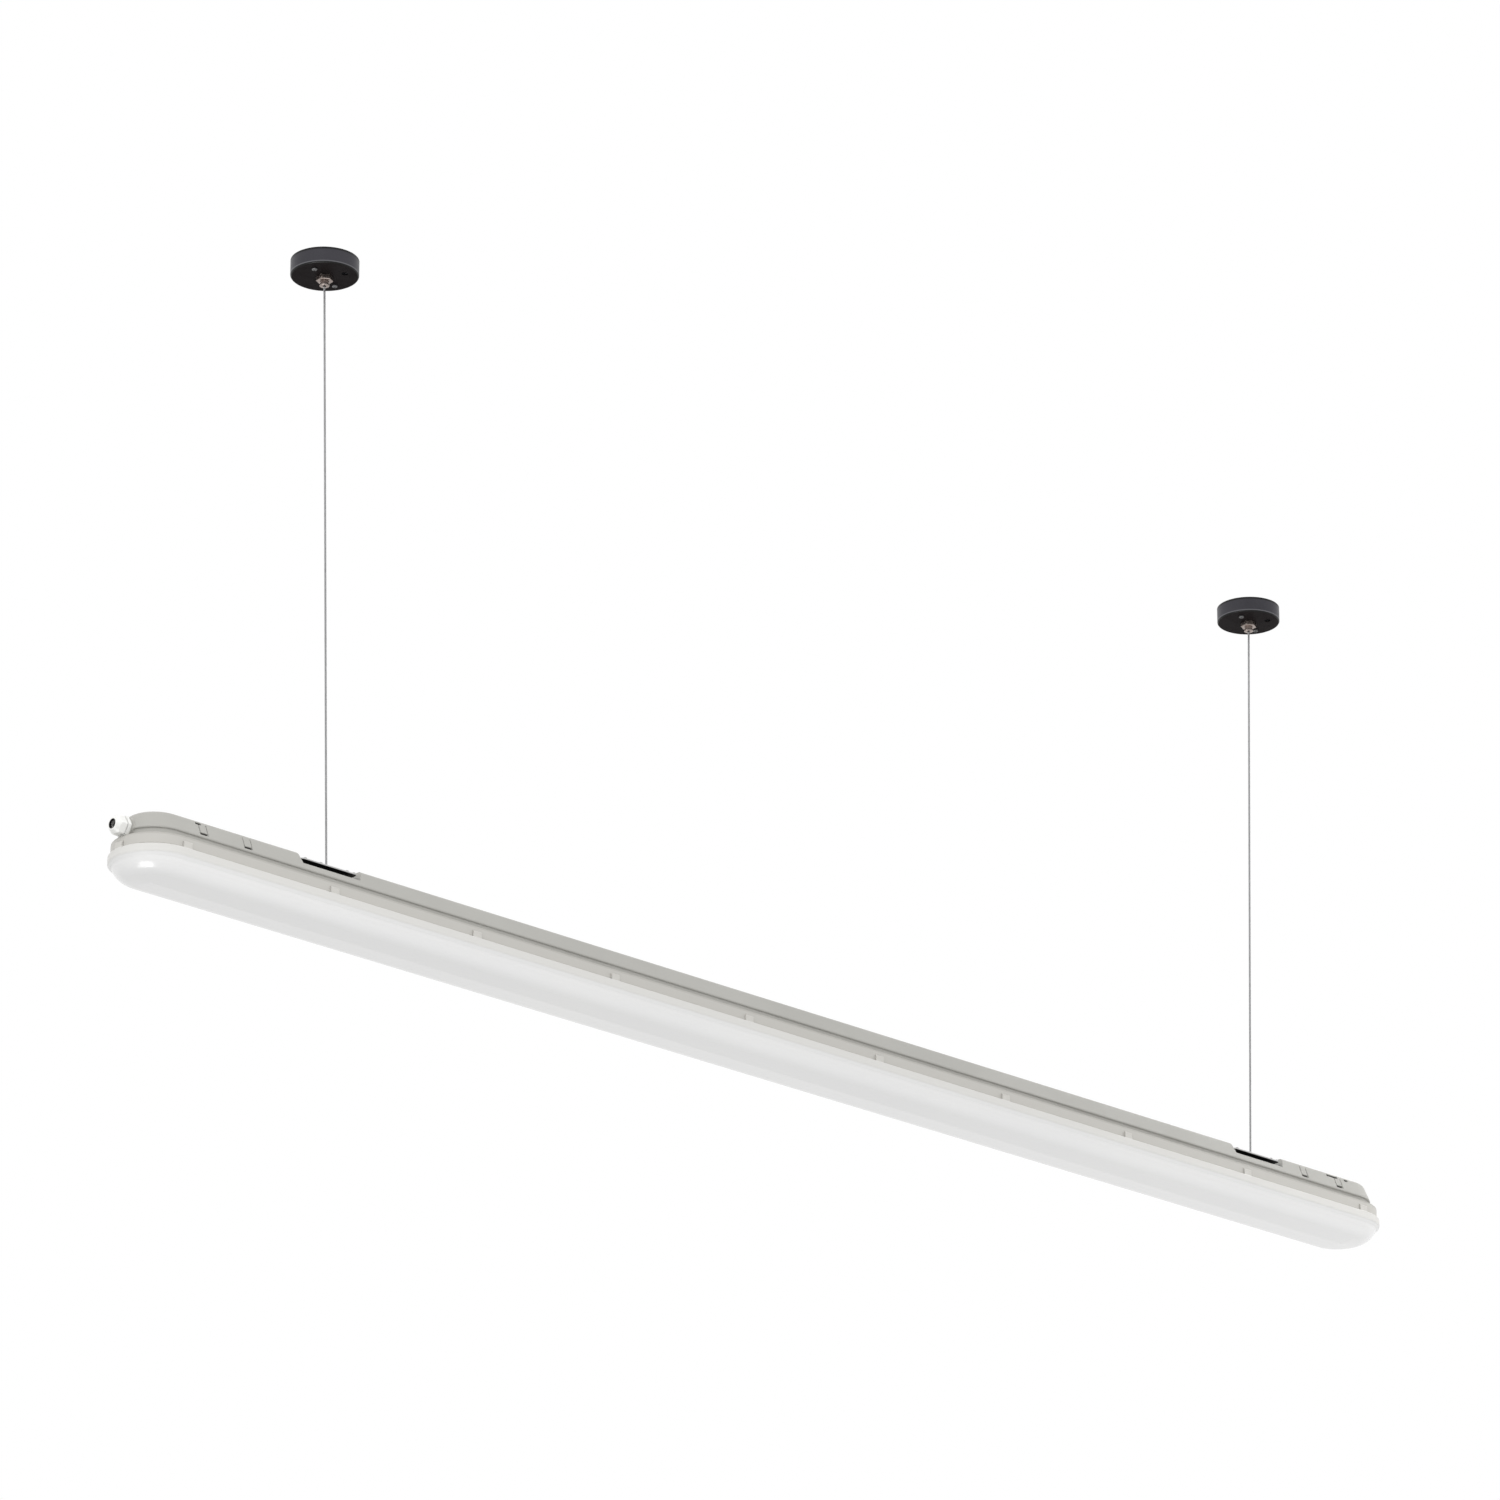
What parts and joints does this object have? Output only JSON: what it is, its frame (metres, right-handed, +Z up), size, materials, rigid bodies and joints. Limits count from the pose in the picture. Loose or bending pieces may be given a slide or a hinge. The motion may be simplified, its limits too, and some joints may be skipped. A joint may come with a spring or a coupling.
{
  "type": "linear light fixture",
  "caption": "Suspended linear light fixture: long round-ended grey base with a clip-on opal diffuser and a cable gland, hung on steel wires from round black ceiling canopies.",
  "frame": {"origin": "on the ceiling plane, midway between the canopies", "axes": "+Z up into the ceiling, +X along the lamp away from its gland, +Y across the lamp"},
  "size_m": [1.5063, 0.078, 0.6215],
  "materials": {
    "housing_grey": "fine matt moulding",
    "opal_cover": "opal, satin",
    "gland_white": "satin moulding",
    "seal_black": "matt",
    "gasket_grey": "foamed, matt",
    "tray_white": "powder coat",
    "board_white": "white solder mask",
    "chip_yellow": "phosphor lens",
    "gear_white": "moulded",
    "lead_insulation": "flexible sheath",
    "zinc_steel": "zinc plated",
    "bracket_black": "black phosphate, rubbed bright on top",
    "wire_steel": "stranded",
    "gripper_nickel": "nickel plated",
    "spring_steel": "drawn",
    "canopy_black": "satin"
  },
  "bodies": {
    "ceiling": {"canopy_left": "canopy_black", "canopy_right": "canopy_black", "ceiling_plate_left": "zinc_steel", "ceiling_plate_right": "zinc_steel", "gripper_body_left": "gripper_nickel", "gripper_body_right": "gripper_nickel", "gripper_spring_left": "spring_steel", "gripper_spring_right": "spring_steel", "canopy_standoffs": "zinc_steel", "canopy_screws": "zinc_steel", "gripper_nuts": "gripper_nickel", "gripper_lock_screws": "gripper_nickel", "wire_tails": "wire_steel"},
    "plunger_left": {"gripper_plunger_left": "gripper_nickel", "gripper_balls_left": "spring_steel"},
    "plunger_right": {"gripper_plunger_right": "gripper_nickel", "gripper_balls_right": "spring_steel"},
    "wire_left": {"suspension_wire_left": "wire_steel", "wire_stop_left": "wire_steel"},
    "wire_right": {"suspension_wire_right": "wire_steel", "wire_stop_right": "wire_steel"},
    "luminaire": {"base_housing": "housing_grey", "sealing_gasket": "gasket_grey", "gear_tray": "tray_white", "tray_screws": "zinc_steel", "led_boards": "board_white", "led_chips": "chip_yellow", "board_screws": "zinc_steel", "board_links": "gear_white", "led_driver": "gear_white", "driver_screws": "zinc_steel", "terminal_block": "gear_white", "mains_leads": "lead_insulation", "led_leads": "lead_insulation", "suspension_bracket_left": "bracket_black", "suspension_bracket_right": "bracket_black", "gland_body": "gland_white", "gland_seal": "seal_black", "gland_washer": "gasket_grey", "gland_lock_nut": "gland_white"},
    "cover": {"diffuser_cover": "opal_cover"},
    "gland_nut": {"gland_dome_nut": "gland_white"}
  },
  "joints": [
    {"name": "press_plunger_left", "type": "slide", "parent": "ceiling", "child": "plunger_left", "axis": [0, 0, 1], "range_m": [0, 0.0025], "stiffness_N_per_m": 600, "springref_m": -0.002, "deforming": ["gripper_spring_left"]},
    {"name": "press_plunger_right", "type": "slide", "parent": "ceiling", "child": "plunger_right", "axis": [0, 0, 1], "range_m": [0, 0.0025], "stiffness_N_per_m": 600, "springref_m": -0.002, "deforming": ["gripper_spring_right"]},
    {"name": "sway_left", "type": "hinge", "parent": "ceiling", "child": "wire_left", "pos_m": [-0.5775, 0, -0.024], "axis": [1, 0, 0], "range_deg": [-20, 20]},
    {"name": "sway_right", "type": "hinge", "parent": "ceiling", "child": "wire_right", "pos_m": [0.5775, 0, -0.024], "axis": [1, 0, 0], "range_deg": [-20, 20]},
    {"name": "tilt", "type": "hinge", "parent": "wire_left", "child": "luminaire", "pos_m": [-0.5605, 0, -0.5739], "axis": [1, 0, 0], "range_deg": [-12, 12]},
    {"name": "pull_cover", "type": "slide", "parent": "luminaire", "child": "cover", "axis": [0, 0, -1], "range_m": [0, 0.06]},
    {"name": "turn_gland_nut", "type": "hinge", "parent": "luminaire", "child": "gland_nut", "pos_m": [-0.784, 0, -0.57985], "axis": [-1, 0, 0], "continuous": true}
  ],
  "couplings": [
    {"joint": "sway_right", "follows": "sway_left", "ratio": 1}
  ]
}
